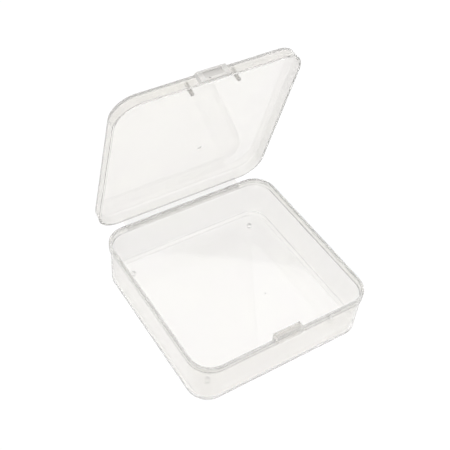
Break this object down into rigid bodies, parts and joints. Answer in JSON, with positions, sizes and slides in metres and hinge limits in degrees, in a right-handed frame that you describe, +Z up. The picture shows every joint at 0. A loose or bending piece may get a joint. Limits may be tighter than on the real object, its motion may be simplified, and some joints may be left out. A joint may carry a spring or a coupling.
{
  "type": "pick holder",
  "caption": "Shallow square hinged box in translucent plastic for keeping guitar picks, its lid open on a living hinge, with a thumb tab and guide prongs at the front.",
  "frame": {"origin": "on the surface the feet stand on, under the middle of the whole box with its lid open 75 degrees (4.6 mm behind the tray's own middle)", "axes": "+Z up, -Y towards the front with the latch, +X to the right seen from the front; the lid is open 75 degrees at rest"},
  "size_m": [0.095, 0.1042, 0.1196],
  "materials": {
    "tray_plastic": "satin, milky clear",
    "lid_plastic": "satin, milky clear",
    "latch_plastic": "satin, milky clear, thicker",
    "hinge_plastic": "satin, stretched and slightly whitened",
    "foot_plastic": "satin, milky clear"
  },
  "bodies": {
    "base": {"base_tray": "tray_plastic", "latch_keeper": "tray_plastic", "foot_front_left": "foot_plastic", "foot_front_right": "foot_plastic", "foot_back_left": "foot_plastic", "foot_back_right": "foot_plastic", "hinge_land": "hinge_plastic", "hinge_web": "hinge_plastic"},
    "lid": {"lid_shell": "lid_plastic", "guide_prong_left": "lid_plastic", "guide_prong_right": "lid_plastic", "latch_tab": "latch_plastic", "hinge_strap": "hinge_plastic"}
  },
  "joints": [
    {"name": "lid_hinge", "type": "hinge", "parent": "base", "child": "lid", "pos_m": [0, 0.04379, 0.0235], "axis": [-1, 0, 0], "range_deg": [-75, 105], "deforming": ["hinge_web"]}
  ]
}
